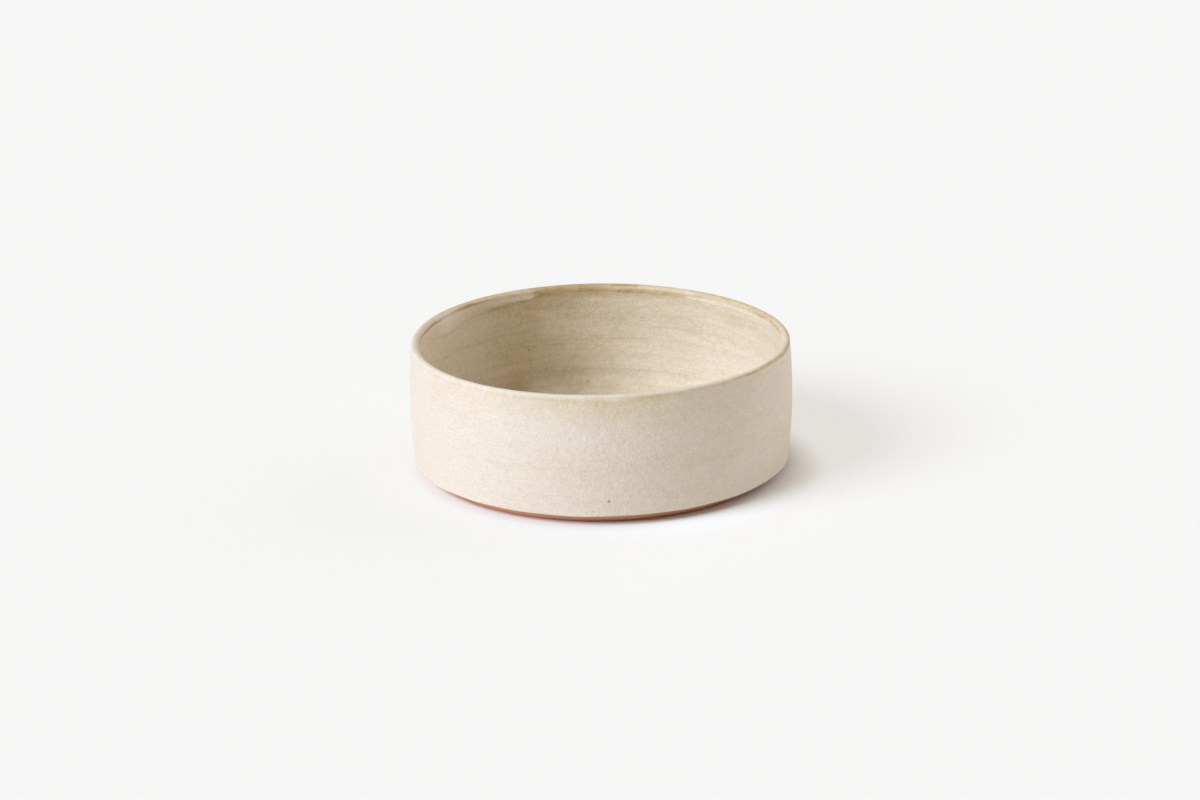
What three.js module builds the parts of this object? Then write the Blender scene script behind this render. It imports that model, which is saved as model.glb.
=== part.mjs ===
// Ceramic bowl: a wheel-thrown, straight-sided stoneware bowl with a bare bevelled foot.
// A red clay body carries two fired glaze coats. The liner was poured inside. The outer coat covers the
// wall, goes over the lip and laps down over the liner, with an uneven edge where the glaze ran.
// Millimetres, +Z up. The origin is the centre of the ring that the bowl stands on.
// Azimuth 0 is the front, at -Y, and azimuth 90 is at +X.

import * as THREE from 'three';

// Overall size, over the glaze
const bowlDiameter = 160;
const bowlHeight = 55;

// Outer wall of the clay, one long arc that is widest at the belly
const bellyHeight = 30;
const wallArcRadius = 255;

// Thickness of the clay
const lipThickness = 2.2;
const wallThicknessAtFloor = 4.4;
const floorThickness = 6.2;

// Rounded edges of the clay
const lipOuterRadius = 0.6;
const lipInnerRadius = 1.5;
const floorFilletRadius = 8.5;

// Bare foot: bevel, standing ring and turned recess
const bevelHeight = 4;
const bevelWidth = 5.5;
const ringWidth = 10;
const recessDepth = 1.4;
const recessSlopeWidth = 1.6;

// Glaze coats, and the clearance between a coat and what it lies on
const outerCoatThickness = 0.45;
const linerThickness = 0.4;
const coatGap = 0.05;

// The outer coat breaks thin over the rounded inner edge of the lip, and its two free edges are rounded off
const thinCoatThickness = 0.25;
const coatEdgeHeight = 0.35;

// Top edge of the liner, which thins out under the lap
const linerBelowLip = 0.2;
const linerTaperHeight = 0.8;
const linerEdgeThickness = 0.12;

// How far the lap reaches down over the liner, and the runs where it reaches further (azimuths in degrees)
const lapReach = 0.5;
const lapRuns = [
  { azimuth: 245, reach: 5.5, spread: 44 },
  { azimuth: 140, reach: 1.1, spread: 18 },
];

// Facets
const roundSegments = 72;
const filletSteps = 5;
const lipInnerSteps = 5;
const lipOuterSteps = 3;
const wallSteps = 7;

// A point on the clay's skin, in the plane of radius and height, with its outward normal
function skinPoint(point, normal) {
  return { point, normal };
}

// Points on an arc, from one angle to another by the shorter way; facing is 1 if it bulges out of the clay
function arc(centre, radius, fromAngle, toAngle, steps, facing) {
  const turn = THREE.MathUtils.euclideanModulo(toAngle - fromAngle + Math.PI, 2 * Math.PI) - Math.PI;
  const points = [];
  for (let step = 0; step <= steps; step += 1) {
    const angle = fromAngle + (turn * step) / steps;
    const outward = new THREE.Vector2(Math.cos(angle), Math.sin(angle));
    const point = centre.clone().addScaledVector(outward, radius);
    points.push(skinPoint(point, outward.multiplyScalar(facing)));
  }
  return points;
}

// The arc that rounds the corner between two straight stretches
function roundedCorner(before, corner, after, radius, steps, facing) {
  const back = before.clone().sub(corner).normalize();
  const ahead = after.clone().sub(corner).normalize();
  const halfAngle = Math.acos(back.dot(ahead)) / 2;
  const middle = back.clone().add(ahead).normalize();
  const centre = corner.clone().addScaledVector(middle, radius / Math.sin(halfAngle));
  const reach = radius / Math.tan(halfAngle);
  const start = corner.clone().addScaledVector(back, reach).sub(centre);
  const end = corner.clone().addScaledVector(ahead, reach).sub(centre);
  return arc(centre, radius, start.angle(), end.angle(), steps, facing);
}

// A skin point moved out along its normal
function raised(skin, distance) {
  return skin.point.clone().addScaledVector(skin.normal, distance);
}

// Sizes of the clay that follow from the glazed sizes
const skinDepth = outerCoatThickness + coatGap;
const lipHeight = bowlHeight - skinDepth;
const floorHeight = recessDepth + floorThickness;
const wallCentre = new THREE.Vector2(bowlDiameter / 2 - skinDepth - wallArcRadius, bellyHeight);

function wallRadiusAt(height) {
  return wallCentre.x + Math.sqrt(wallArcRadius ** 2 - (height - wallCentre.y) ** 2);
}

// Corners of the hollow: the middle of the floor, the foot of the wall and the inner edge of the lip
const floorMiddle = new THREE.Vector2(0, floorHeight);
const wallFoot = new THREE.Vector2(wallRadiusAt(floorHeight) - wallThicknessAtFloor, floorHeight);
const lipInnerCorner = new THREE.Vector2(wallRadiusAt(lipHeight) - lipThickness, lipHeight);

// The outer edge of the lip is an arc that runs on into the wall's arc
const lipRound = Math.min(lipOuterRadius, lipThickness - lipInnerRadius);
const lipCentreHeight = lipHeight - lipRound;
const lipCentreReach = Math.sqrt((wallArcRadius - lipRound) ** 2 - (lipCentreHeight - wallCentre.y) ** 2);
const lipCentre = new THREE.Vector2(wallCentre.x + lipCentreReach, lipCentreHeight);
const lipTop = new THREE.Vector2(lipCentre.x, lipHeight);
const wallTopAngle = lipCentre.clone().sub(wallCentre).angle();
const wallBottomAngle = Math.asin((bevelHeight - wallCentre.y) / wallArcRadius);

// The clay's skin in order, from the middle of the floor up, over the lip and down to the bevel
const floorSkin = [skinPoint(floorMiddle, new THREE.Vector2(0, 1))];
const filletSkin = roundedCorner(floorMiddle, wallFoot, lipInnerCorner, floorFilletRadius, filletSteps, -1);
const lipInnerSkin = roundedCorner(wallFoot, lipInnerCorner, lipTop, lipInnerRadius, lipInnerSteps, 1);
const lipOuterSkin = arc(lipCentre, lipRound, Math.PI / 2, wallTopAngle, lipOuterSteps, 1);
const wallSkin = arc(wallCentre, wallArcRadius, wallTopAngle, wallBottomAngle, wallSteps, 1).slice(1);

// A point on the straight inner wall at a given height
const innerWallTop = lipInnerSkin[0];
const innerWallLine = lipInnerCorner.clone().sub(wallFoot);
function innerWallAt(height) {
  const share = (height - wallFoot.y) / innerWallLine.y;
  return skinPoint(wallFoot.clone().addScaledVector(innerWallLine, share), innerWallTop.normal);
}

// Heights of the liner's top edge and of the place where the liner has its full thickness
const linerTop = innerWallTop.point.y - linerBelowLip;
const linerFull = linerTop - linerTaperHeight;

function lapEdgeHeight(azimuth) {
  let reach = lapReach;
  for (const run of lapRuns) {
    const apart = THREE.MathUtils.euclideanModulo(azimuth - run.azimuth + 180, 360) - 180;
    const share = Math.min(Math.abs(apart) / run.spread, 1);
    reach += (run.reach * (1 + Math.cos(Math.PI * share))) / 2;
  }
  return linerFull - reach;
}

// Outlines in the plane of radius and height, each listed so that the solid lies on its right hand

function clayOutline() {
  const footRadius = wallRadiusAt(bevelHeight) - bevelWidth;
  const recessRadius = footRadius - ringWidth;
  const skin = [...floorSkin, ...filletSkin, ...lipInnerSkin, ...lipOuterSkin, ...wallSkin];
  return [
    ...skin.map((place) => place.point),
    new THREE.Vector2(footRadius, 0),
    new THREE.Vector2(recessRadius, 0),
    new THREE.Vector2(recessRadius - recessSlopeWidth, recessDepth),
    new THREE.Vector2(0, recessDepth),
  ];
}

function linerOutline() {
  const covered = [...floorSkin, ...filletSkin, innerWallAt(linerFull)];
  const edge = innerWallAt(linerTop);
  const upper = covered.map((place) => raised(place, coatGap + linerThickness));
  const under = covered.map((place) => raised(place, coatGap));
  return [...upper, raised(edge, coatGap + linerEdgeThickness), raised(edge, coatGap), ...under.reverse()];
}

function outerCoatOutline(azimuth) {
  const lapEdge = lapEdgeHeight(azimuth);
  const overLiner = 2 * coatGap + linerThickness;
  const overLinerEdge = 2 * coatGap + linerEdgeThickness;
  const overLip = [...lipOuterSkin, ...wallSkin];
  const wallEnd = overLip[overLip.length - 1];

  const under = [
    raised(innerWallAt(lapEdge), overLiner),
    raised(innerWallAt(linerFull), overLiner),
    raised(innerWallAt(linerTop), overLinerEdge),
    raised(innerWallAt(linerTop + coatGap), coatGap),
    ...lipInnerSkin.map((place) => raised(place, coatGap)),
    ...overLip.map((place) => raised(place, coatGap)),
  ];
  const upper = [
    raised(innerWallAt(lapEdge), overLiner + outerCoatThickness / 2),
    raised(innerWallAt(lapEdge + coatEdgeHeight), overLiner + outerCoatThickness),
    raised(innerWallAt(linerFull), overLiner + outerCoatThickness),
    raised(innerWallAt(linerTop), overLinerEdge + outerCoatThickness),
    ...lipInnerSkin.map((place) => raised(place, coatGap + thinCoatThickness)),
    ...overLip.slice(0, -1).map((place) => raised(place, skinDepth)),
    raised(wallEnd, skinDepth).add(new THREE.Vector2(0, coatEdgeHeight)),
    raised(wallEnd, coatGap + outerCoatThickness / 2),
  ];
  return [...upper, ...under.reverse(), upper[0]];
}

// A solid turned about Z from an outline that may change with the azimuth
// The lathe takes the outline from its far end, which makes the faces point out
function turned(outlineAt) {
  const geometry = new THREE.LatheGeometry(outlineAt(0), roundSegments);
  const position = geometry.getAttribute('position');
  for (let segment = 0; segment <= roundSegments; segment += 1) {
    const azimuth = (360 * (segment % roundSegments)) / roundSegments;
    const angle = THREE.MathUtils.degToRad(azimuth);
    const outline = outlineAt(azimuth).reverse();
    outline.forEach((place, index) => {
      const vertex = segment * outline.length + index;
      position.setXYZ(vertex, place.x * Math.sin(angle), place.y, place.x * Math.cos(angle));
    });
  }
  return geometry.rotateX(Math.PI / 2);
}

function piece(name, outlineAt, color, roughness) {
  const material = new THREE.MeshStandardMaterial({ color, roughness, metalness: 0 });
  const mesh = new THREE.Mesh(turned(outlineAt), material);
  mesh.name = name;
  return mesh;
}

const bowl = new THREE.Group();
bowl.add(piece('clay_body', clayOutline, 0x9a5f45, 0.9));
bowl.add(piece('inner_glaze', linerOutline, 0xd8c9ae, 0.6));
bowl.add(piece('outer_glaze', outerCoatOutline, 0xddd0ba, 0.6));

export default bowl;
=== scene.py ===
import math
from typing import Callable, NamedTuple

import bmesh
import bpy
import numpy as np
from mathutils import Matrix, Vector


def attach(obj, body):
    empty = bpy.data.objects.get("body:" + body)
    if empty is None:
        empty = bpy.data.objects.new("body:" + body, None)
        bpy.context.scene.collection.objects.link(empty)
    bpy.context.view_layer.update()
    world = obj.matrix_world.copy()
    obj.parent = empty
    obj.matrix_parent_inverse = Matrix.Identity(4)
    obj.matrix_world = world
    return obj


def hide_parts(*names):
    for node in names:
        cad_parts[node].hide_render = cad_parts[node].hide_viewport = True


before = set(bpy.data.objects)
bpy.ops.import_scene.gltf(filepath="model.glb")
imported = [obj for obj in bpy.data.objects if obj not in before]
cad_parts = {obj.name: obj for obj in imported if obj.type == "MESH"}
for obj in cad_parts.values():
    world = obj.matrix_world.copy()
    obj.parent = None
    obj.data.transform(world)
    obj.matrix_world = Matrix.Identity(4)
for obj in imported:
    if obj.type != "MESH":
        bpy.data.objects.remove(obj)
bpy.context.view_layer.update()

# A wheel-thrown bowl: red clay, a poured liner glaze inside, and an outer glaze that laps over the lip.
# Lengths are in millimetres until a mesh or a node takes them, and azimuths are in degrees.
# Azimuth 0 is the front, at -Y, and azimuth 90 is at +X.

MM = 0.001

# Sizes of the bowl, the same as those of the solids
BOWL_RADIUS = 80.0
BOWL_HEIGHT = 55.0
BELLY_HEIGHT = 30.0
WALL_ARC_RADIUS = 255.0
LIP_THICKNESS = 2.2
WALL_THICKNESS_AT_FLOOR = 4.4
FLOOR_THICKNESS = 6.2
LIP_OUTER_RADIUS = 0.6
LIP_INNER_RADIUS = 1.5
FLOOR_FILLET_RADIUS = 8.5
BEVEL_HEIGHT = 4.0
BEVEL_WIDTH = 5.5
RING_WIDTH = 10.0
RECESS_DEPTH = 1.4
RECESS_SLOPE_WIDTH = 1.6
OUTER_COAT_THICKNESS = 0.45
LINER_THICKNESS = 0.4
COAT_GAP = 0.05
LINER_BELOW_LIP = 0.2
LINER_TAPER_HEIGHT = 0.8
LINER_EDGE_THICKNESS = 0.12

# The edges of the foot are worn round
FOOT_EDGE_RADIUS = 0.6
RECESS_EDGE_RADIUS = 0.8

# The rim isn't quite level or round: it rises and falls twice on the way round, and so does its radius
RIM_LIFT = -0.08
RIM_SWAY = 0.4
RIM_SWAY_PEAK = 22
RIM_OVAL = 0.2
RIM_OVAL_PEAK = 75
TRUE_FOOT_HEIGHT = 6.0

# Ridges left by the fingers in throwing the wall: depth, spacing, and the heights in which they fade
INNER_RIDGE = 0.04
OUTER_RIDGE = 0.02
RIDGE_SPACING = 7.0
NARROW_RIDGE_SPACING = 0.57 * RIDGE_SPACING
NARROW_RIDGE_PHASE = 1.0
BROAD_RIDGE_SHARE = 0.6
RIDGE_FADE_IN = 6.0
RIDGE_FADE_OUT = 8.0
RIDGE_END_BELOW_LIP = 3.0

# The spiral in the floor: depth, spacing, and the widths in which it fades at the middle and at the wall
FLOOR_RIDGE = 0.12
FLOOR_RIDGE_SPACING = 11.0
FLOOR_RIDGE_FADE_IN = 12.0
FLOOR_RIDGE_FADE_OUT = 8.0

# Lines left by the tool in turning the foot; they are closer on the bevel and deeper under the floor
TOOL_MARK = 0.035
TOOL_MARK_SPACING = 1.5
BROAD_TOOL_MARK_SPACING = 2.7 * TOOL_MARK_SPACING
BEVEL_MARK_CROWDING = 1.3
BEVEL_MARK_FADE = 0.2
BASE_MARK_GROWTH = 2.0
BASE_MARK_FADE_IN = 10.0
BASE_MARK_FADE_OUT = 3.0

# The clay is painted paler on the side that faces the key light and darker round the far side (painted light
# and shade): azimuth of the lit side, and tone in the middle of the base and where the liner and the lip's
# glaze cover it
CLAY_PAINTED_LIGHT_AZIMUTH = -50
BASE_MIDDLE_TONE = 0.7
COVERED_TONE = 0.0

# The glaze line above the bare foot wavers, and the glaze is thicker in the bead along it
GLAZE_LINE_WAVER = 0.16
GLAZE_LINE_WAVES = (2, 3, 5, 8, 13, 21)
BEAD_GROWTH = 0.3
BEAD_HEIGHT = 1.3
EDGE_ROUNDING = 0.5

# How thick the outer coat is on the lip and at its lap, and the height in which the lap levels out to the lip
LIP_COAT_THICKNESS = 0.36
LEVELLING_HEIGHT = 2.0
THINNEST_LAP = 0.12
THICKEST_LAP = 0.4

# The lap over the liner, listed from the front round: azimuth, height of the lap's lower edge, the height in
# which that edge fades, and how thick the glaze looks on the lap and on top of the lip
LAP_SHAPE = [
    (0, 52.0, 0.4, 0.58, 0.55),
    (20, 52.0, 0.4, 0.55, 0.52),
    (35, 52.2, 0.4, 0.54, 0.46),
    (70, 52.2, 0.4, 0.58, 0.40),
    (86, 52.0, 0.6, 0.52, 0.36),
    (98, 51.6, 1.0, 0.40, 0.30),
    (112, 51.3, 1.2, 0.38, 0.25),
    (126, 51.0, 1.2, 0.42, 0.24),
    (144, 50.9, 0.9, 0.43, 0.26),
    (152, 51.4, 0.5, 0.33, 0.28),
    (170, 51.9, 0.4, 0.25, 0.19),
    (199, 52.0, 0.4, 0.21, 0.16),
    (202, 51.6, 0.4, 0.23, 0.17),
    (203.5, 50.4, 0.5, 0.39, 0.22),
    (214, 50.2, 0.6, 0.38, 0.24),
    (222, 49.4, 1.0, 0.38, 0.20),
    (230, 47.8, 1.6, 0.42, 0.19),
    (240, 44.8, 2.2, 0.95, 0.20),
    (248, 46.2, 2.4, 0.44, 0.28),
    (258, 50.0, 2.0, 0.40, 0.42),
    (272, 51.6, 0.6, 0.41, 0.54),
    (320, 51.8, 0.4, 0.55, 0.52),
]
LAP_EDGE_WAVER = 0.12
LAP_EDGE_WAVES = (7, 12, 19, 33)

# The shares of the lip's inner and outer rounding in which the look of the lip's top comes in and goes out
LIP_TOP_START = 0.25
LIP_TOP_SPAN = 0.6
LIP_TOP_END = 2.0 / 7.0

# Places where a coat looks thinner or thicker than around them, and places of painted shade and light:
# first and last azimuth, height at each, half height, and change of look
INSIDE_LIP_PATCHES = [
    (210, 296, 53.8, 52.6, 0.40, -0.32),
    (222, 262, 53.6, 52.8, 0.45, -0.30),
    (166, 206, 52.4, 52.2, 0.70, -0.19),
    (172, 216, 53.7, 53.7, 0.90, -0.11),
    (148, 177, 52.0, 51.6, 0.60, -0.20),
    (166, 178, 54.3, 54.3, 0.35, -0.12),
    (104, 152, 53.6, 53.6, 0.70, -0.22),
    (142, 176, 52.9, 52.8, 0.60, -0.15),
    (94, 126, 53.4, 53.6, 0.70, -0.06),
    (91, 110, 53.4, 53.5, 0.50, -0.19),
]
OUTSIDE_PATCHES_AND_PAINTED_LIGHT = [
    (-70, 4, 52.9, 52.6, 0.45, -0.12),
    (-78, 32, 49.5, 50.0, 4.0, -0.07),
    (-14, 34, 52.0, 52.2, 1.6, -0.06),
    (1, 6, 53.2, 53.2, 0.9, 0.08),
    (7, 44, 53.0, 54.0, 0.6, -0.12),
    (-30, 60, 50.0, 50.0, 9.0, -0.045),
    # Painted shade over the front right of the wall, which turns from the key light, and painted light low on
    # the left
    (-10, 50, 26.0, 26.0, 22.0, -0.03),
    (-110, -25, 20.0, 20.0, 16.0, 0.05),
    # Thin glaze on the lip's outer edge on the right, with painted shade of that edge, which faces from the
    # key light
    (34, 114, 54.1, 54.1, 0.45, -0.28),
    # A faint thinner band round the front
    (-70, 60, 24.0, 23.4, 1.6, -0.04),
]
LINER_PATCHES_AND_PAINTED_SHADE = [
    (202, 226, 50.1, 48.3, 0.8, -0.10),
    (148, 208, 51.2, 51.2, 1.5, -0.12),
    # Painted shade: darker where the near rim shades the inside wall, and in the hollow at the floor
    (168, 228, 30.0, 30.0, 40.0, -0.06),
    (140, 196, 30.0, 30.0, 26.0, -0.05),
    (110, 236, 11.5, 11.5, 4.0, -0.08),
    (140, 182, 13.0, 13.0, 9.0, -0.05),
    (176, 234, 15.0, 15.0, 10.0, -0.08),
    (184, 216, 26.0, 26.0, 22.0, -0.06),
    (188, 220, 18.0, 18.0, 11.0, -0.05),
    # Painted light on the lit edge of that shade
    (174, 202, 36.0, 36.0, 6.0, 0.07),
    # Places where the liner looks thinner or thicker
    (112, 150, 47.5, 47.5, 2.5, -0.04),
    (100, 142, 36.0, 36.0, 4.0, 0.05),
    # Painted shade high on the shaded inside wall
    (182, 222, 47.5, 47.0, 5.0, -0.06),
    # Faint thinner lines round the inside wall
    (100, 176, 39.4, 38.8, 0.9, -0.03),
    (100, 176, 37.2, 36.8, 1.0, -0.035),
    (176, 250, 36.6, 36.0, 1.2, -0.06),
    (120, 200, 31.0, 30.6, 0.9, -0.05),
    (110, 230, 16.6, 16.4, 0.9, -0.05),
]

# The middle of a patch drifts by a share of its half height, and a share of its length fades at each end
PATCH_DRIFT = 0.25
PATCH_WAVES = (5, 9, 14, 23, 31)
PATCH_ENDS = 0.2

# The liner drained downwards as it dried, so it looks thinner above this height and fuller below
LINER_POOL_LEVEL = 36.0
LINER_POOL = 0.08
LEAST_POOLING = -0.5

# The range of looks of a glaze
THINNEST_LOOK = 0.05
THICKEST_LOOK = 1.2

# Specks in the glaze: azimuth, height, radius and darkness
OUTER_SPECKS = [
    (1.7, 10.9, 0.54, 0.95),
    (12.0, 41.0, 0.44, 0.40),
    (17.8, 13.75, 0.36, 0.38),
    (64.0, 37.5, 0.36, 0.25),
    (-118.0, 22.0, 0.38, 0.50),
    (151.0, 33.0, 0.34, 0.45),
]
LINER_SPECKS = [
    (205.0, 28.0, 0.45, 0.70),
    (242.0, 35.9, 0.42, 0.50),
    (184.6, 11.5, 0.44, 0.65),
    (190.0, 14.1, 0.40, 0.40),
    (191.7, 9.5, 0.40, 0.35),
    (146.0, 16.5, 0.38, 0.30),
    (204.7, 23.5, 0.38, 0.25),
    (20.0, 30.0, 0.40, 0.45),
]

# A speck is even in its core and fades to its edge, both as shares of its radius
SPECK_CORE = 0.4
SPECK_EDGE = 1.3
IRON_SPECK = (0.24, 0.13, 0.0)
DARK_SPECK = (0.10, 0.072, 0.048)

# Colours of the clay by its tone, which holds painted light and shade, and of each glaze by how thick it
# looks
CLAY_STOPS = [
    (0.40, (0.36, 0.155, 0.082)),
    (0.80, (0.55, 0.248, 0.128)),
    (1.00, (0.64, 0.295, 0.158)),
]
OUTER_STOPS = [
    (0.00, (0.37, 0.225, 0.11)),
    (0.12, (0.53, 0.38, 0.205)),
    (0.22, (0.63, 0.485, 0.30)),
    (0.32, (0.685, 0.565, 0.42)),
    (0.45, (0.725, 0.617, 0.508)),
    (0.70, (0.76, 0.662, 0.55)),
    (1.00, (0.81, 0.70, 0.58)),
]
LINER_STOPS = [
    (0.00, (0.35, 0.208, 0.093)),
    (0.12, (0.50, 0.37, 0.205)),
    (0.26, (0.61, 0.505, 0.35)),
    (0.40, (0.70, 0.595, 0.46)),
    (0.60, (0.74, 0.642, 0.525)),
]

# How strongly the patterns in the glaze change its look, shade, roughness and relief
MOTTLE_LOOK = 0.11
GRAIN_SHADE = 0.15
MOTTLE_SHADE = 0.05
GLAZE_ROUGHNESS = 0.62
MOTTLE_ROUGHNESS = 0.10
GRAIN_RELIEF = 0.55
MOTTLE_RELIEF = 0.7
GLAZE_BUMP = 0.65

# The same for the clay, and its pale flecks of grog
CLOUD_TONE = 0.2
LINE_SHADE = 0.22
CLAY_GRAIN_SHADE = 0.25
CLAY_ROUGHNESS = 0.88
CLAY_GRAIN_ROUGHNESS = 0.08
LINE_RELIEF = 0.5
CLAY_GRAIN_RELIEF = 0.5
CLAY_BUMP = 0.5
GROG_SCALE = 900.0
FLECK_CORE = 0.10
FLECK_EDGE = 0.22
FLECK_STRENGTH = 0.45
FLECK_COLOUR = (0.62, 0.38, 0.26)

# The depth of the relief of all materials
BUMP_DEPTH = 0.3

# A white floor. It glows a little to the camera, so that it stays white away from the bowl. The glow starts
# outside a circle round the foot, so that the bowl keeps its shadow.
FLOOR_REACH = 4000.0
FLOOR_COLOUR = (0.905, 0.905, 0.89)
FLOOR_ROUGHNESS = 0.9
FLOOR_GLOW = 0.64
FLOOR_GLOW_COLOUR = (0.925, 0.908, 0.885)
GLOW_CENTRE = (6.0, -8.0, 0.0)
GLOW_START = 71.0
GLOW_END = 92.0

# Two large soft lamps and a dim even sky: name, azimuth, elevation, spread, strength and colour
LAMPS = [
    ("key_light", -61, 36, 33, 3.55, (0.765, 0.85, 1.0)),
    ("fill_light", 118, 24, 64, 1.42, (0.90, 0.88, 0.94)),
]
SKY_COLOUR = (1.0, 0.95, 0.75)
SKY_STRENGTH = 0.35

# The camera: its place, its angle down from level, its roll, and its lens
CAMERA_PLACE = (-0.574, -1328.620, 472.195)
CAMERA_PITCH = 18.5219
CAMERA_ROLL = -0.8646
CAMERA_LENS = 100.0
SENSOR_WIDTH = 36.0

# Points round the bowl, and rows of points along each stretch of the outlines
SEGMENTS = 480
LAP_ROWS = 36
LIP_INNER_ROWS = 14
LIP_FLAT_ROWS = 4
LIP_OUTER_ROWS = 12
OUTER_WALL_ROWS = 98
LINER_FLOOR_ROWS = 40
LINER_FILLET_ROWS = 20
LINER_WALL_ROWS = 90
BEVEL_ROWS = 26
FOOT_EDGE_ROWS = 7
RECESS_EDGE_ROWS = 6
RING_ROWS = 6
SLOPE_ROWS = 5
BASE_ROWS = 70

# The same where two pieces lie on each other and nothing shows, on the coats and on the clay
UNDER_WALL_ROWS = 24
UNDER_LIP_OUTER_ROWS = 8
UNDER_LIP_INNER_ROWS = 5
UNDER_FILLET_ROWS = 12
UNDER_FLOOR_ROWS = 21
UNDER_ROW_STEP = 4
CLAY_FLOOR_ROWS = 16
CLAY_FILLET_ROWS = 12
CLAY_INNER_WALL_ROWS = 22
CLAY_LIP_INNER_ROWS = 6
CLAY_LIP_OUTER_ROWS = 10
CLAY_OUTER_WALL_ROWS = 24
CORNER_STEPS = 200

# Seeds of the irregular waves
SEED = 7
LAP_EDGE_SEED = 1
GLAZE_LINE_SEED = 2
INSIDE_LIP_SEED = 3
OUTSIDE_SEED = 4
LINER_SEED = 5

# The flat maps: the margin of each band, and how far hidden rows are squeezed
MAP_MARGIN = 0.005
HIDDEN_SQUEEZE = 0.08

# Points of a mesh that are nearer than this to the axis become one, in metres
WELD_DISTANCE = 1e-6

# Each mesh keeps the look of its points under this name, and the materials read it
LOOK_LAYER = "look"

AZIMUTH = np.arange(SEGMENTS)[None, :] * 360.0 / SEGMENTS


# Small helpers

def smooth(share):
    share = np.clip(share, 0.0, 1.0)
    return share * share * (3.0 - 2.0 * share)


def steps(count, first=0.0, last=1.0):
    return np.linspace(first, last, count)[:, None]


def unit(way):
    return way / np.linalg.norm(way)


def place(radius, height):
    return np.array([radius, height])


def waver(orders, seed):
    """A gentle irregular wave round the bowl, between about -1 and 1."""
    draw = np.random.default_rng(SEED + seed)
    total = np.zeros_like(AZIMUTH)
    for order in orders:
        total += np.cos(np.radians(order * AZIMUTH) + draw.uniform(0.0, 2.0 * math.pi))
    return total / math.sqrt(len(orders))


# The clay's skin, followed from the middle of the floor up, over the lip and down to the middle of the base

class Skin(NamedTuple):
    """Points on the skin, and the way that points out of the clay there."""
    radius: np.ndarray
    height: np.ndarray
    out: np.ndarray
    up: np.ndarray


def raised(skin, distance):
    return skin.radius + skin.out * distance, skin.height + skin.up * distance


def straight(start, end, shares):
    way = end - start
    out, up = unit(np.array([-way[1], way[0]]))
    return Skin(start[0] + way[0] * shares, start[1] + way[1] * shares, out, up)


def rounded(before, corner, after, radius, shares):
    """The arc that rounds the corner between two straight stretches."""
    back = unit(before - corner)
    ahead = unit(after - corner)
    half = math.acos(back @ ahead) / 2.0
    turn = math.pi - 2.0 * half
    centre = corner + unit(back + ahead) * radius / math.sin(half)
    reach = radius / math.tan(half)
    start = (corner + back * reach - centre) / radius
    end = (corner + ahead * reach - centre) / radius
    from_start = np.sin((1.0 - shares) * turn) / math.sin(turn)
    from_end = np.sin(shares * turn) / math.sin(turn)
    out = start[0] * from_start + end[0] * from_end
    up = start[1] * from_start + end[1] * from_end
    is_hollow = back[1] * ahead[0] > back[0] * ahead[1]
    facing = -1.0 if is_hollow else 1.0
    return Skin(centre[0] + radius * out, centre[1] + radius * up, facing * out, facing * up)


def last_place(skin):
    return place(skin.radius[-1, 0], skin.height[-1, 0])


def first_place(skin):
    return place(skin.radius[0, 0], skin.height[0, 0])


SKIN_DEPTH = OUTER_COAT_THICKNESS + COAT_GAP
LIP_HEIGHT = BOWL_HEIGHT - SKIN_DEPTH
FLOOR_HEIGHT = RECESS_DEPTH + FLOOR_THICKNESS
WALL_CENTRE_RADIUS = BOWL_RADIUS - SKIN_DEPTH - WALL_ARC_RADIUS


def outer_wall(height):
    up = (height - BELLY_HEIGHT) / WALL_ARC_RADIUS
    out = np.sqrt(1.0 - up * up)
    return Skin(WALL_CENTRE_RADIUS + WALL_ARC_RADIUS * out, height, out, up)


def wall_radius(height):
    return float(outer_wall(height).radius)


FLOOR_MIDDLE = place(0.0, FLOOR_HEIGHT)
WALL_FOOT = place(wall_radius(FLOOR_HEIGHT) - WALL_THICKNESS_AT_FLOOR, FLOOR_HEIGHT)
LIP_CORNER = place(wall_radius(LIP_HEIGHT) - LIP_THICKNESS, LIP_HEIGHT)
LIP_CENTRE_HEIGHT = LIP_HEIGHT - LIP_OUTER_RADIUS
LIP_CENTRE_REACH = math.sqrt(
    (WALL_ARC_RADIUS - LIP_OUTER_RADIUS) ** 2 - (LIP_CENTRE_HEIGHT - BELLY_HEIGHT) ** 2
)
LIP_CENTRE = place(WALL_CENTRE_RADIUS + LIP_CENTRE_REACH, LIP_CENTRE_HEIGHT)
LIP_TOP = place(LIP_CENTRE[0], LIP_HEIGHT)
WALL_TOP_ANGLE = math.atan2(LIP_CENTRE_HEIGHT - BELLY_HEIGHT, LIP_CENTRE_REACH)
WALL_TOP_HEIGHT = LIP_CENTRE_HEIGHT + LIP_OUTER_RADIUS * math.sin(WALL_TOP_ANGLE)
BEVEL_TOP = place(wall_radius(BEVEL_HEIGHT), BEVEL_HEIGHT)
FOOT_CORNER = place(BEVEL_TOP[0] - BEVEL_WIDTH, 0.0)
RECESS_CORNER = place(FOOT_CORNER[0] - RING_WIDTH, 0.0)
BASE_CORNER = place(RECESS_CORNER[0] - RECESS_SLOPE_WIDTH, RECESS_DEPTH)
BASE_MIDDLE = place(0.0, RECESS_DEPTH)


def flat_floor(radius):
    return Skin(radius, FLOOR_HEIGHT, 0.0, 1.0)


def floor_fillet(shares):
    return rounded(FLOOR_MIDDLE, WALL_FOOT, LIP_CORNER, FLOOR_FILLET_RADIUS, shares)


def inner_wall(height):
    share = (height - FLOOR_HEIGHT) / (LIP_HEIGHT - FLOOR_HEIGHT)
    return straight(WALL_FOOT, LIP_CORNER, share)


def lip_inner_edge(shares):
    return rounded(WALL_FOOT, LIP_CORNER, LIP_TOP, LIP_INNER_RADIUS, shares)


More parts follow.
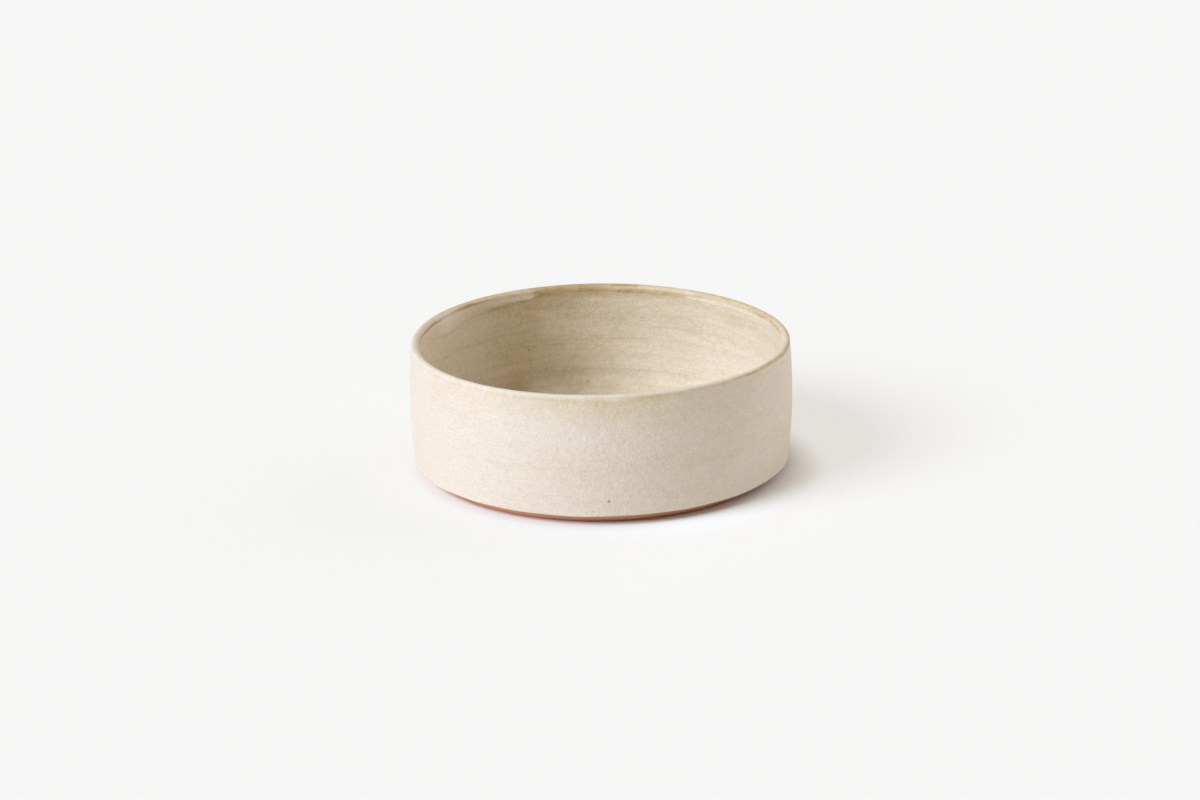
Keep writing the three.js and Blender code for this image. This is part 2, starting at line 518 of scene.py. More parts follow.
def lip_outer_edge(shares):
    angle = math.pi / 2.0 + (WALL_TOP_ANGLE - math.pi / 2.0) * shares
    out = np.cos(angle)
    up = np.sin(angle)
    radius = LIP_CENTRE[0] + LIP_OUTER_RADIUS * out
    return Skin(radius, LIP_CENTRE[1] + LIP_OUTER_RADIUS * up, out, up)


FILLET_TOP_HEIGHT = last_place(floor_fillet(steps(2)))[1]
FILLET_RADIUS = first_place(floor_fillet(steps(2)))[0]
INNER_WALL_TOP_HEIGHT = first_place(lip_inner_edge(steps(2)))[1]
LINER_TOP = INNER_WALL_TOP_HEIGHT - LINER_BELOW_LIP


def inside_skin(height):
    """The skin of the hollow at one height, on the wall or on the rounded corner below it."""
    if height >= FILLET_TOP_HEIGHT:
        return inner_wall(height)
    corner = floor_fillet(steps(CORNER_STEPS))
    heights = corner.height[:, 0]
    radius = np.interp(height, heights, corner.radius[:, 0])
    out = np.interp(height, heights, corner.out[:, 0])
    up = np.interp(height, heights, corner.up[:, 0])
    return Skin(radius, height, out, up)


# What the hand leaves in the clay

def ridges(height, depth):
    """Throwing ridges, which climb the wall as shallow spirals."""
    turns = AZIMUTH / 360.0
    broad = np.cos(2.0 * math.pi * (height / RIDGE_SPACING - turns))
    narrow = np.cos(2.0 * math.pi * (height / NARROW_RIDGE_SPACING - 2.0 * turns) + NARROW_RIDGE_PHASE)
    fade_in = smooth((height - FILLET_TOP_HEIGHT) / RIDGE_FADE_IN)
    fade_out = smooth((LIP_HEIGHT - RIDGE_END_BELOW_LIP - height) / RIDGE_FADE_OUT)
    return depth * fade_in * fade_out * (BROAD_RIDGE_SHARE * broad + (1.0 - BROAD_RIDGE_SHARE) * narrow)


def floor_ridges(radius):
    """The spiral that the fingers leave in the floor."""
    spiral = np.cos(2.0 * math.pi * (radius / FLOOR_RIDGE_SPACING - AZIMUTH / 360.0))
    fade_in = smooth(radius / FLOOR_RIDGE_FADE_IN)
    fade_out = smooth((FILLET_RADIUS - radius) / FLOOR_RIDGE_FADE_OUT)
    return FLOOR_RIDGE * spiral * fade_in * fade_out


def tool_marks(distance):
    """Fine turning lines on the bare foot."""
    broad = np.cos(2.0 * math.pi * (distance / BROAD_TOOL_MARK_SPACING - AZIMUTH / 360.0))
    fine = np.cos(2.0 * math.pi * (distance / TOOL_MARK_SPACING - 2.0 * AZIMUTH / 360.0))
    return TOOL_MARK * (broad + fine) / 2.0


def by_hand(radius, height):
    """The whole bowl's slight sway, which grows from the foot to the rim."""
    growth = smooth((height - TRUE_FOOT_HEIGHT) / (BOWL_HEIGHT - TRUE_FOOT_HEIGHT))
    lift = RIM_LIFT + RIM_SWAY * np.cos(np.radians(2.0 * (AZIMUTH - RIM_SWAY_PEAK)))
    oval = RIM_OVAL * np.cos(np.radians(2.0 * (AZIMUTH - RIM_OVAL_PEAK)))
    near_wall = radius / BOWL_RADIUS
    return radius + growth * oval * near_wall, height + growth * lift


# How thick the glaze is, and how thick it looks

def all_round(azimuths, values):
    """Values that are listed for some azimuths, read all the way round the bowl."""
    return np.interp(AZIMUTH, azimuths, values, period=360.0)


def patches(table, height, seed):
    """How much thicker the glaze looks because of the patches in a table; less than 0 is thinner or painted
    shade.
    """
    change = np.zeros(np.broadcast_shapes(AZIMUTH.shape, np.shape(height)))
    drift = PATCH_DRIFT * waver(PATCH_WAVES, seed)
    for first, last, first_height, last_height, half_height, amount in table:
        share = ((AZIMUTH - first) % 360.0) / (last - first)
        centre = first_height + (last_height - first_height) * share + drift * half_height
        ends = smooth(share / PATCH_ENDS) * smooth((1.0 - share) / PATCH_ENDS)
        change += amount * ends * np.exp(-(((height - centre) / half_height) ** 2))
    return change


def patched(look, table, height, seed):
    return np.maximum(look + patches(table, height, seed), THINNEST_LOOK)


def liner_depth(height):
    """The liner's own thickness on the inner wall; it thins out towards its top edge."""
    taper = np.clip((LINER_TOP - height) / LINER_TAPER_HEIGHT, 0.0, 1.0)
    return LINER_EDGE_THICKNESS + (LINER_THICKNESS - LINER_EDGE_THICKNESS) * taper


def rounded_off(share):
    """How a coat swells from its free edge."""
    share = np.clip(share, 0.0, 1.0)
    return np.sqrt(share * (2.0 - share))


LAP_AZIMUTHS, *LAP_COLUMNS = zip(*LAP_SHAPE)
LAP_LEVEL, LAP_FADE, LAP_LOOK, LIP_TOP_LOOK = (all_round(LAP_AZIMUTHS, column) for column in LAP_COLUMNS)
LAP_EDGE = LAP_LEVEL + LAP_EDGE_WAVER * waver(LAP_EDGE_WAVES, LAP_EDGE_SEED)
LINER_TOP_LOOK = LINER_THICKNESS + LEAST_POOLING * LINER_POOL
GLAZE_LINE = BEVEL_HEIGHT + GLAZE_LINE_WAVER * waver(GLAZE_LINE_WAVES, GLAZE_LINE_SEED)


# Meshes

class Rows(NamedTuple):
    """Rows of points round the bowl, their look, and whether they show.

    The look of a glaze is how thick it seems, with some painted shade and light in it, and the look of the
    clay is how pale it is, which is painted light and shade: paler towards the key light.
    """
    radius: np.ndarray
    height: np.ndarray
    look: np.ndarray
    shows: bool


def rows(skin, lift, look, shows=True):
    radius, height = raised(skin, lift)
    shape = np.broadcast_shapes(np.shape(radius), np.shape(height), np.shape(look), AZIMUTH.shape)
    return Rows(
        np.broadcast_to(radius, shape),
        np.broadcast_to(height, shape),
        np.broadcast_to(look, shape),
        shows,
    )


def flipped(part):
    return Rows(part.radius[::-1], part.height[::-1], part.look[::-1], part.shows)


def row_shares(parts):
    """Where each row lies in the flat map, by its distance along the outline; hidden rows are squeezed."""
    radius = np.concatenate([part.radius.mean(axis=1) for part in parts])
    height = np.concatenate([part.height.mean(axis=1) for part in parts])
    shows = np.concatenate([np.full(len(part.radius), part.shows) for part in parts])
    distance = np.hypot(np.diff(radius, append=radius[0]), np.diff(height, append=height[0]))
    distance *= np.where(shows, 1.0, HIDDEN_SQUEEZE)
    return np.concatenate([[0.0], np.cumsum(distance)]) / distance.sum()


def flat_map(mesh, corner_rows, corner_segments, shares, bands):
    """A flat map of the surface: the way round the bowl is cut into bands that are stacked on each other."""
    per_band = SEGMENTS // bands
    band = corner_segments.min(axis=1, keepdims=True) // per_band
    across = (corner_segments - band * per_band) / per_band
    along = shares[corner_rows]
    inset = MAP_MARGIN + (1.0 - 2.0 * MAP_MARGIN) * np.stack([across, along], axis=-1)
    inset[..., 1] = (inset[..., 1] + band) / bands
    layer = mesh.uv_layers.new(name="OFBake")
    layer.data.foreach_set("uv", inset.astype(np.float32).ravel())


def weld_on_axis(mesh):
    """The points of a row that lies on the axis become one point."""
    work = bmesh.new()
    work.from_mesh(mesh)
    on_axis = [point for point in work.verts if point.co.xy.length < WELD_DISTANCE]
    bmesh.ops.remove_doubles(work, verts=on_axis, dist=WELD_DISTANCE)
    work.to_mesh(mesh)
    work.free()


def turned_piece(name, parts, material, is_ring, bands):
    """A closed solid from rows of points, which either close in a ring or start and end on the axis."""
    radius = np.concatenate([part.radius for part in parts])
    height = np.concatenate([part.height for part in parts])
    look = np.concatenate([part.look for part in parts])
    radius, height = by_hand(radius, height)
    angle = np.radians(AZIMUTH)
    points = np.stack([radius * np.sin(angle), -radius * np.cos(angle), height], axis=-1)

    count = len(radius)
    strips = count if is_ring else count - 1
    row, segment = np.meshgrid(np.arange(strips), np.arange(SEGMENTS), indexing="ij")
    corner_rows = np.stack([row, row + 1, row + 1, row], axis=-1).reshape(-1, 4)
    corner_segments = np.stack([segment, segment, segment + 1, segment + 1], axis=-1).reshape(-1, 4)
    corners = (corner_rows % count) * SEGMENTS + corner_segments % SEGMENTS

    mesh = bpy.data.meshes.new(name)
    mesh.from_pydata((points.reshape(-1, 3) * MM).tolist(), [], corners.tolist())
    flat_map(mesh, corner_rows, corner_segments, row_shares(parts), bands)
    layer = mesh.attributes.new(LOOK_LAYER, "FLOAT", "POINT")
    layer.data.foreach_set("value", look.astype(np.float32).ravel())
    weld_on_axis(mesh)
    mesh.shade_smooth()
    mesh.materials.append(material)
    piece = bpy.data.objects.new(name, mesh)
    bpy.context.scene.collection.objects.link(piece)
    return piece


def lap_rows():
    """The outer coat inside the bowl: its face, which shows, and its underside on the liner and the clay."""
    height = LAP_EDGE + (INNER_WALL_TOP_HEIGHT - LAP_EDGE) * steps(LAP_ROWS)
    from_edge = (height - LAP_EDGE) / LAP_FADE
    levelling_start = np.maximum(LAP_EDGE, INNER_WALL_TOP_HEIGHT - LEVELLING_HEIGHT)
    near_lip = smooth((height - levelling_start) / (INNER_WALL_TOP_HEIGHT - levelling_start))
    lap = np.clip(LAP_LOOK - LINER_TOP_LOOK + THINNEST_LAP, THINNEST_LAP, THICKEST_LAP)
    over_liner = 2.0 * COAT_GAP + LINER_THICKNESS + lap * rounded_off(from_edge)
    over_lap = over_liner + (COAT_GAP + LIP_COAT_THICKNESS - over_liner) * near_lip
    look = LINER_TOP_LOOK + (LAP_LOOK - LINER_TOP_LOOK) * smooth(from_edge)
    look = patched(look, INSIDE_LIP_PATCHES, height, INSIDE_LIP_SEED)

    under_height = height[:-1:UNDER_ROW_STEP]
    has_liner = under_height < LINER_TOP
    under_lap = COAT_GAP + np.where(has_liner, liner_depth(under_height) + COAT_GAP, 0.0)
    face = rows(inner_wall(height), over_lap, look)
    underside = rows(inner_wall(under_height), under_lap, OUTER_COAT_THICKNESS, shows=False)
    return face, flipped(underside)


def lip_rows():
    """The outer coat on the lip: its inner rounding, its flat top and its outer rounding."""
    inner_share = steps(LIP_INNER_ROWS)[1:]
    inner = lip_inner_edge(inner_share)
    to_top = smooth((inner_share - LIP_TOP_START) / LIP_TOP_SPAN)
    inner_look = LAP_LOOK + (LIP_TOP_LOOK - LAP_LOOK) * to_top
    inner_look = patched(inner_look, INSIDE_LIP_PATCHES, inner.height, INSIDE_LIP_SEED)

    flat = straight(last_place(inner), LIP_TOP, steps(LIP_FLAT_ROWS)[1:-1])
    flat_look = inner_look[-1:]

    outer_share = steps(LIP_OUTER_ROWS)
    outer = lip_outer_edge(outer_share)
    to_wall = smooth((outer_share - LIP_TOP_END) / (1.0 - LIP_TOP_END))
    outer_coat = LIP_COAT_THICKNESS + (OUTER_COAT_THICKNESS - LIP_COAT_THICKNESS) * to_wall
    outer_look = flat_look + (OUTER_COAT_THICKNESS - flat_look) * to_wall
    outer_look = patched(outer_look, OUTSIDE_PATCHES_AND_PAINTED_LIGHT, outer.height, OUTSIDE_SEED)
    return [
        rows(inner, COAT_GAP + LIP_COAT_THICKNESS, inner_look),
        rows(flat, COAT_GAP + LIP_COAT_THICKNESS, flat_look),
        rows(outer, COAT_GAP + outer_coat, outer_look),
    ]


def wall_rows():
    """The outer coat on the wall: its face, with the bead above the glaze line, and its underside."""
    height = WALL_TOP_HEIGHT + (GLAZE_LINE - WALL_TOP_HEIGHT) * steps(OUTER_WALL_ROWS)[1:]
    above_line = height - GLAZE_LINE
    coat = OUTER_COAT_THICKNESS * (1.0 + BEAD_GROWTH * np.exp(-((above_line / BEAD_HEIGHT) ** 2)))
    look = patched(coat, OUTSIDE_PATCHES_AND_PAINTED_LIGHT, height, OUTSIDE_SEED)
    coat = coat * rounded_off(above_line / EDGE_ROUNDING)

    under_height = GLAZE_LINE + (WALL_TOP_HEIGHT - GLAZE_LINE) * steps(UNDER_WALL_ROWS)
    under_ridge = ridges(under_height, OUTER_RIDGE)
    return [
        rows(outer_wall(height), COAT_GAP + ridges(height, OUTER_RIDGE) + coat, look),
        rows(outer_wall(under_height), COAT_GAP + under_ridge, OUTER_COAT_THICKNESS, shows=False),
    ]


def outer_coat_rows():
    lap_face, lap_underside = lap_rows()
    under_outer_edge = lip_outer_edge(steps(UNDER_LIP_OUTER_ROWS)[:-1])
    under_inner_edge = lip_inner_edge(steps(UNDER_LIP_INNER_ROWS))
    return [
        lap_face,
        *lip_rows(),
        *wall_rows(),
        flipped(rows(under_outer_edge, COAT_GAP, OUTER_COAT_THICKNESS, shows=False)),
        flipped(rows(under_inner_edge, COAT_GAP, OUTER_COAT_THICKNESS, shows=False)),
        lap_underside,
    ]


def liner_rows():
    floor = flat_floor(steps(LINER_FLOOR_ROWS, 0.0, FILLET_RADIUS))
    floor_change = patches(LINER_PATCHES_AND_PAINTED_SHADE, FLOOR_HEIGHT, LINER_SEED)
    full_look = LINER_THICKNESS + LINER_POOL
    floor_look = full_look + floor_change * smooth(floor.radius / FILLET_RADIUS)

    fillet = floor_fillet(steps(LINER_FILLET_ROWS)[1:])
    fillet_look = full_look + patches(LINER_PATCHES_AND_PAINTED_SHADE, fillet.height, LINER_SEED)

    height = FILLET_TOP_HEIGHT + (LINER_TOP - FILLET_TOP_HEIGHT) * steps(LINER_WALL_ROWS)[1:]
    pooling = (LINER_POOL_LEVEL - height) / (LINER_POOL_LEVEL - FILLET_TOP_HEIGHT)
    wall_look = LINER_THICKNESS + LINER_POOL * np.clip(pooling, LEAST_POOLING, 1.0)
    wall_look = patched(wall_look, LINER_PATCHES_AND_PAINTED_SHADE, height, LINER_SEED)
    ridge = ridges(height, INNER_RIDGE)

    full = COAT_GAP + LINER_THICKNESS
    hidden = LINER_THICKNESS
    under_height = height[::UNDER_ROW_STEP]
    under_ridge = ridge[::UNDER_ROW_STEP]
    under_fillet = floor_fillet(steps(UNDER_FILLET_ROWS))
    under_floor = flat_floor(steps(UNDER_FLOOR_ROWS, 0.0, FILLET_RADIUS)[:-1])
    return [
        rows(floor, full + floor_ridges(floor.radius), floor_look),
        rows(fillet, full, fillet_look),
        rows(inner_wall(height), COAT_GAP + ridge + liner_depth(height), wall_look),
        flipped(rows(inner_wall(under_height), COAT_GAP + under_ridge, hidden, shows=False)),
        flipped(rows(under_fillet, COAT_GAP, hidden, shows=False)),
        flipped(rows(under_floor, COAT_GAP + floor_ridges(under_floor.radius), hidden, shows=False)),
    ]


def glazed_clay_rows(tone):
    """The clay under the two coats, from the middle of the floor to the bevel."""
    floor = flat_floor(steps(CLAY_FLOOR_ROWS, 0.0, FILLET_RADIUS))
    inner_height = steps(CLAY_INNER_WALL_ROWS, FILLET_TOP_HEIGHT, INNER_WALL_TOP_HEIGHT)[1:-1]
    outer_height = WALL_TOP_HEIGHT + (BEVEL_HEIGHT - WALL_TOP_HEIGHT) * steps(CLAY_OUTER_WALL_ROWS)[1:]
    return [
        rows(floor, floor_ridges(floor.radius), COVERED_TONE, shows=False),
        rows(floor_fillet(steps(CLAY_FILLET_ROWS)[1:]), 0.0, COVERED_TONE, shows=False),
        rows(inner_wall(inner_height), ridges(inner_height, INNER_RIDGE), COVERED_TONE, shows=False),
        rows(lip_inner_edge(steps(CLAY_LIP_INNER_ROWS)), 0.0, COVERED_TONE, shows=False),
        rows(lip_outer_edge(steps(CLAY_LIP_OUTER_ROWS)), 0.0, COVERED_TONE, shows=False),
        rows(outer_wall(outer_height), ridges(outer_height, OUTER_RIDGE), tone, shows=False),
    ]


def bare_clay_rows(tone):
    """The bare foot: the bevel, the ring that it stands on, and the recess under the floor."""
    foot = rounded(BEVEL_TOP, FOOT_CORNER, RECESS_CORNER, FOOT_EDGE_RADIUS, steps(FOOT_EDGE_ROWS))
    recess_rows = steps(RECESS_EDGE_ROWS)
    recess = rounded(FOOT_CORNER, RECESS_CORNER, BASE_CORNER, RECESS_EDGE_RADIUS, recess_rows)
    base_edge = rounded(RECESS_CORNER, BASE_CORNER, BASE_MIDDLE, RECESS_EDGE_RADIUS, recess_rows)
    ring = straight(last_place(foot), first_place(recess), steps(RING_ROWS)[1:-1])
    slope = straight(last_place(recess), first_place(base_edge), steps(SLOPE_ROWS)[1:-1])

    bevel_share = steps(BEVEL_ROWS)[1:-1]
    bevel = straight(BEVEL_TOP, first_place(foot), bevel_share)
    from_ends = np.minimum(bevel_share, 1.0 - bevel_share)
    bevel_marks = tool_marks(bevel.radius * BEVEL_MARK_CROWDING) * smooth(from_ends / BEVEL_MARK_FADE)

    base = straight(last_place(base_edge), BASE_MIDDLE, steps(BASE_ROWS)[1:])
    fade_in = smooth(base.radius / BASE_MARK_FADE_IN)
    fade_out = smooth((BASE_CORNER[0] - base.radius) / BASE_MARK_FADE_OUT)
    base_marks = BASE_MARK_GROWTH * tool_marks(base.radius) * fade_in * fade_out
    base_tone = BASE_MIDDLE_TONE + (tone - BASE_MIDDLE_TONE) * smooth(base.radius / BASE_CORNER[0])
    return [
        rows(bevel, bevel_marks, tone),
        rows(foot, 0.0, tone),
        rows(ring, 0.0, tone),
        rows(recess, 0.0, tone),
        rows(slope, 0.0, tone),
        rows(base_edge, 0.0, tone),
        rows(base, base_marks, base_tone),
    ]


def clay_rows():
    # Painted light and shade: the bare clay is paler towards the key light and darker round the far side
    tone = 0.5 + 0.5 * np.cos(np.radians(AZIMUTH - CLAY_PAINTED_LIGHT_AZIMUTH))
    return glazed_clay_rows(tone) + bare_clay_rows(tone)


# Nodes of the materials

def new_material(name):
    material = bpy.data.materials.new(name)
    material.use_nodes = True
    return material, material.node_tree, material.node_tree.nodes["Principled BSDF"]


def put(tree, node, key, value):
    """Gives a node's input a value, or a link if the value is a socket."""
    if isinstance(value, bpy.types.NodeSocket):
        tree.links.new(value, node.inputs[key])
    else:
        node.inputs[key].default_value = value


def add_node(tree, kind, inputs=None, **settings):
    node = tree.nodes.new(kind)
    for name, value in settings.items():
        setattr(node, name, value)
    for key, value in (inputs or {}).items():
        put(tree, node, key, value)
    return node


def maths(tree, operation, first, second):
    return add_node(tree, "ShaderNodeMath", {0: first, 1: second}, operation=operation).outputs[0]


class Pattern(NamedTuple):
    """Noise: its frequency along each axis, for each metre, and its detail and roughness."""
    frequency: tuple
    detail: float
    roughness: float


STREAKS = Pattern((16.0, 16.0, 260.0), 3.0, 0.65)
BLOTCHES = Pattern((34.0, 34.0, 110.0), 3.0, 0.6)
WIPING = Pattern((90.0, 90.0, 1000.0), 2.0, 0.6)
MOTTLE = Pattern((400.0, 400.0, 400.0), 3.0, 0.65)
GRAIN = Pattern((1150.0, 1150.0, 1150.0), 2.0, 0.6)
TURNING_LINES = Pattern((20.0, 20.0, 1600.0), 3.0, 0.6)
CLOUDS = Pattern((60.0, 60.0, 60.0), 3.0, 0.5)
CLAY_GRAIN = Pattern((1800.0, 1800.0, 1800.0), 3.0, 0.65)


def noise(tree, coordinates, pattern):
    scaled = add_node(tree, "ShaderNodeMapping", {"Vector": coordinates, "Scale": pattern.frequency})
    inputs = {
        "Vector": scaled.outputs["Vector"],
        "Scale": 1.0,
        "Detail": pattern.detail,
        "Roughness": pattern.roughness,
    }
    return add_node(tree, "ShaderNodeTexNoise", inputs).outputs["Fac"]


def in_range(tree, value, start, end, at_start, at_end, **settings):
    """Goes from one amount to another while a value goes from start to end."""
    inputs = {"Value": value, "From Min": start, "From Max": end, "To Min": at_start, "To Max": at_end}
    return add_node(tree, "ShaderNodeMapRange", inputs, **settings).outputs["Result"]


def swing(tree, value, amount):
    """A noise value between 0 and 1, made to swing about 0 by plus or minus amount."""
    return in_range(tree, value, 0.0, 1.0, -amount, amount, clamp=False)


def distance_from(tree, coordinates, centre):
    inputs = {0: coordinates, 1: Vector(centre) * MM}
    return add_node(tree, "ShaderNodeVectorMath", inputs, operation="DISTANCE").outputs["Value"]


def ramp(tree, value, stops):
    node = add_node(tree, "ShaderNodeValToRGB", {"Fac": value})
    elements = node.color_ramp.elements
    while len(elements) < len(stops):
        elements.new(0.5)
    for element, (position, colour) in zip(elements, stops):
        element.position = position
        element.color = (*colour, 1.0)
    return node.outputs["Color"]


def mixed(tree, factor, first, second, blend="MIX"):
    inputs = {0: factor, 6: first, 7: second}
    return add_node(tree, "ShaderNodeMix", inputs, data_type="RGBA", blend_type=blend).outputs[2]


def shaded(tree, colour, shade):
    """A colour made lighter or darker by a share of itself."""
    return mixed(tree, 1.0, colour, maths(tree, "ADD", shade, 1.0), "MULTIPLY")


def stored_look(tree):
    return add_node(tree, "ShaderNodeAttribute", attribute_name=LOOK_LAYER).outputs["Fac"]


def dress(tree, shader, colour, roughness, relief, bump_strength):
    inputs = {"Height": relief, "Strength": bump_strength, "Distance": BUMP_DEPTH * MM}
    bump = add_node(tree, "ShaderNodeBump", inputs)
    tree.links.new(colour, shader.inputs["Base Color"])
    tree.links.new(roughness, shader.inputs["Roughness"])
    tree.links.new(bump.outputs["Normal"], shader.inputs["Normal"])


# Materials

class Glaze(NamedTuple):
    """One coat: its colours, how strongly its marks change it, its specks, and the skin that it lies on."""
    stops: list
    streak: float
    blotch: float
    wipe: float
    specks: list
    speck_colour: tuple
    thickness: float
    skin_at: Callable


LINER_GLAZE = Glaze(
    stops=LINER_STOPS,
    streak=0.15,
    blotch=0.12,
    wipe=0.10,
    specks=LINER_SPECKS,
    speck_colour=DARK_SPECK,
    thickness=LINER_THICKNESS,
    skin_at=inside_skin,
)
OUTER_GLAZE = Glaze(
    stops=OUTER_STOPS,
    streak=0.03,
    blotch=0.10,
    wipe=0.05,
    specks=OUTER_SPECKS,
    speck_colour=IRON_SPECK,
    thickness=OUTER_COAT_THICKNESS,
    skin_at=outer_wall,
)


def speck_mask(tree, coordinates, glaze):
    """The darkness of each speck in its middle, falling to 0 at its edge."""
    total = 0.0
    for azimuth, height, radius, darkness in glaze.specks:
        reach, rise = raised(glaze.skin_at(height), COAT_GAP + glaze.thickness)
        angle = math.radians(azimuth)
        centre = (reach * math.sin(angle), -reach * math.cos(angle), rise)
        distance = distance_from(tree, coordinates, centre)
        core = SPECK_CORE * radius * MM
        edge = SPECK_EDGE * radius * MM
        spot = in_range(tree, distance, core, edge, darkness, 0.0, interpolation_type="SMOOTHSTEP")
        total = maths(tree, "MAXIMUM", spot, total)
    return total


def glaze_material(name, glaze):
    """Satin-matte glaze: its colour follows its stored look, thickness and painted shade, with streaks,
    blotches, grain and specks.
    """
    material, tree, shader = new_material(name)
    coordinates = add_node(tree, "ShaderNodeTexCoord").outputs["Object"]
    mottle = noise(tree, coordinates, MOTTLE)
    grain = noise(tree, coordinates, GRAIN)

    look = stored_look(tree)
    look = maths(tree, "ADD", look, swing(tree, noise(tree, coordinates, STREAKS), glaze.streak))
    look = maths(tree, "ADD", look, swing(tree, noise(tree, coordinates, BLOTCHES), glaze.blotch))
    look = maths(tree, "ADD", look, swing(tree, mottle, MOTTLE_LOOK))
    stops = [(thickness / THICKEST_LOOK, colour) for thickness, colour in glaze.stops]
    colour = ramp(tree, maths(tree, "DIVIDE", look, THICKEST_LOOK), stops)

    shade = maths(tree, "ADD", swing(tree, grain, GRAIN_SHADE), swing(tree, mottle, MOTTLE_SHADE))
    shade = maths(tree, "ADD", shade, swing(tree, noise(tree, coordinates, WIPING), glaze.wipe))
    colour = shaded(tree, colour, shade)
    specks = speck_mask(tree, coordinates, glaze)
    colour = mixed(tree, specks, colour, (*glaze.speck_colour, 1.0))

    roughness = maths(tree, "ADD", swing(tree, mottle, MOTTLE_ROUGHNESS), GLAZE_ROUGHNESS)
    relief = maths(tree, "ADD", swing(tree, grain, GRAIN_RELIEF), swing(tree, mottle, MOTTLE_RELIEF))
    dress(tree, shader, colour, roughness, relief, GLAZE_BUMP)
    return material


def clay_material(name):
    """Unglazed red clay, matte, with fine turning lines, grog, a little kiln flashing, and painted light and
    shade.
    """
    material, tree, shader = new_material(name)
    coordinates = add_node(tree, "ShaderNodeTexCoord").outputs["Object"]
    lines = noise(tree, coordinates, TURNING_LINES)
    clouds = noise(tree, coordinates, CLOUDS)
    grain = noise(tree, coordinates, CLAY_GRAIN)

    # The stored tone is painted light and shade: paler towards the key light, darker round the far side
    tone = maths(tree, "ADD", stored_look(tree), swing(tree, clouds, CLOUD_TONE))
    shade = maths(tree, "ADD", swing(tree, lines, LINE_SHADE), swing(tree, grain, CLAY_GRAIN_SHADE))
    colour = shaded(tree, ramp(tree, tone, CLAY_STOPS), shade)
    grog = add_node(tree, "ShaderNodeTexVoronoi", {"Vector": coordinates, "Scale": GROG_SCALE})
    flecks = in_range(tree, grog.outputs["Distance"], FLECK_CORE, FLECK_EDGE, FLECK_STRENGTH, 0.0)
    colour = mixed(tree, flecks, colour, (*FLECK_COLOUR, 1.0))

    roughness = maths(tree, "ADD", swing(tree, grain, CLAY_GRAIN_ROUGHNESS), CLAY_ROUGHNESS)
    relief = maths(tree, "ADD", swing(tree, lines, LINE_RELIEF), swing(tree, grain, CLAY_GRAIN_RELIEF))
    dress(tree, shader, colour, roughness, relief, CLAY_BUMP)
    return material


def floor_material(name):
    material, tree, shader = new_material(name)
    shader.inputs["Base Color"].default_value = (*FLOOR_COLOUR, 1.0)
    shader.inputs["Roughness"].default_value = FLOOR_ROUGHNESS
    shader.inputs["Specular IOR Level"].default_value = 0.0

    glow = add_node(tree, "ShaderNodeEmission", {"Color": (*FLOOR_GLOW_COLOUR, 1.0), "Strength": 1.0})
    rays = add_node(tree, "ShaderNodeLightPath")
    seen = maths(tree, "MAXIMUM", rays.outputs["Is Camera Ray"], rays.outputs["Is Glossy Ray"])
    coordinates = add_node(tree, "ShaderNodeTexCoord").outputs["Object"]
    distance = distance_from(tree, coordinates, GLOW_CENTRE)
    start = GLOW_START * MM
    end = GLOW_END * MM
    growth = in_range(tree, distance, start, end, 0.0, FLOOR_GLOW, interpolation_type="SMOOTHSTEP")
    share = maths(tree, "MULTIPLY", seen, growth)
    mix = add_node(tree, "ShaderNodeMixShader", {0: share, 1: shader.outputs[0], 2: glow.outputs[0]})
    tree.links.new(mix.outputs[0], tree.nodes["Material Output"].inputs["Surface"])
    return material


# Stage, light and camera

def make_floor():
    reach = FLOOR_REACH * MM
    corners = [(-reach, -reach, 0.0), (reach, -reach, 0.0), (reach, reach, 0.0), (-reach, reach, 0.0)]
    mesh = bpy.data.meshes.new("studio_floor")
    mesh.from_pydata(corners, [], [(0, 1, 2, 3)])
    mesh.materials.append(floor_material("studio_floor"))
    floor = bpy.data.objects.new("studio_floor", mesh)
    bpy.context.scene.collection.objects.link(floor)


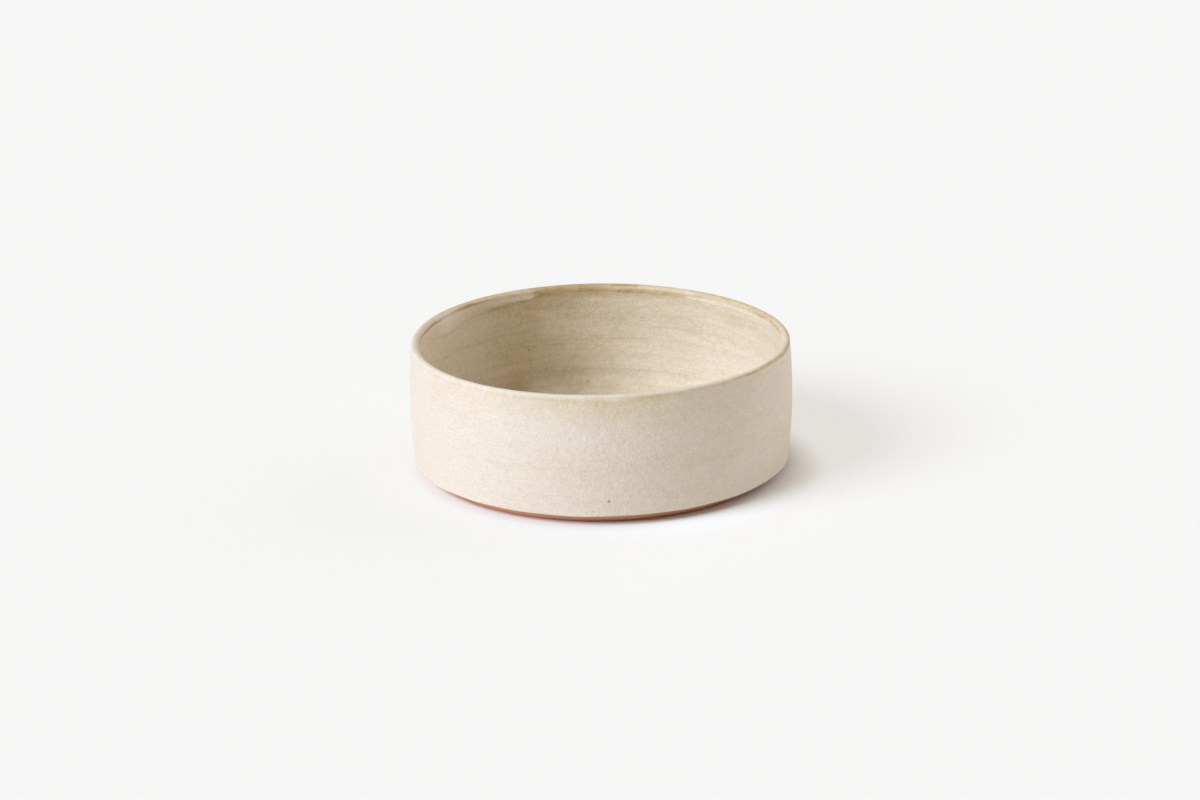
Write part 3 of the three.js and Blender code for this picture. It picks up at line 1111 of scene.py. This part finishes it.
def make_lights():
    world = bpy.data.worlds.new("studio")
    world.use_nodes = True
    background = world.node_tree.nodes["Background"]
    background.inputs["Color"].default_value = (*SKY_COLOUR, 1.0)
    background.inputs["Strength"].default_value = SKY_STRENGTH
    bpy.context.scene.world = world

    for name, azimuth, elevation, spread, strength, colour in LAMPS:
        light = bpy.data.lights.new(name, "SUN")
        light.energy = strength
        light.angle = math.radians(spread)
        light.color = colour
        lamp = bpy.data.objects.new(name, light)
        turn = math.radians(azimuth)
        tilt = math.radians(elevation)
        towards = Vector((math.cos(tilt) * math.sin(turn), -math.cos(tilt) * math.cos(turn), math.sin(tilt)))
        lamp.rotation_euler = towards.to_track_quat("Z", "Y").to_euler()
        lamp.location = towards
        bpy.context.scene.collection.objects.link(lamp)


def make_camera():
    lens = bpy.data.cameras.new("camera")
    lens.lens = CAMERA_LENS
    lens.sensor_width = SENSOR_WIDTH
    camera = bpy.data.objects.new("camera", lens)
    pitch = Matrix.Rotation(math.radians(90.0 - CAMERA_PITCH), 4, "X")
    roll = Matrix.Rotation(math.radians(CAMERA_ROLL), 4, "Z")
    camera.matrix_world = Matrix.Translation(Vector(CAMERA_PLACE) * MM) @ pitch @ roll
    bpy.context.scene.collection.objects.link(camera)
    bpy.context.scene.camera = camera


# The bowl and its scene

def make_bowl():
    red_clay = clay_material("red_clay")
    clay = turned_piece("thrown_clay_body", clay_rows(), red_clay, is_ring=False, bands=2)
    liner_glaze = glaze_material("liner_glaze", LINER_GLAZE)
    liner = turned_piece("liner_glaze_coat", liner_rows(), liner_glaze, is_ring=False, bands=2)
    outer_glaze = glaze_material("outer_glaze", OUTER_GLAZE)
    outer = turned_piece("outer_glaze_coat", outer_coat_rows(), outer_glaze, is_ring=True, bands=3)
    for piece, node, slot in (
        (clay, "clay_body", "clay"),
        (liner, "inner_glaze", "liner_glaze"),
        (outer, "outer_glaze", "outer_glaze"),
    ):
        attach(piece, "root")
        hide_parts(node)


bpy.context.scene.view_settings.view_transform = "Standard"
make_camera()
make_floor()
make_lights()
make_bowl()
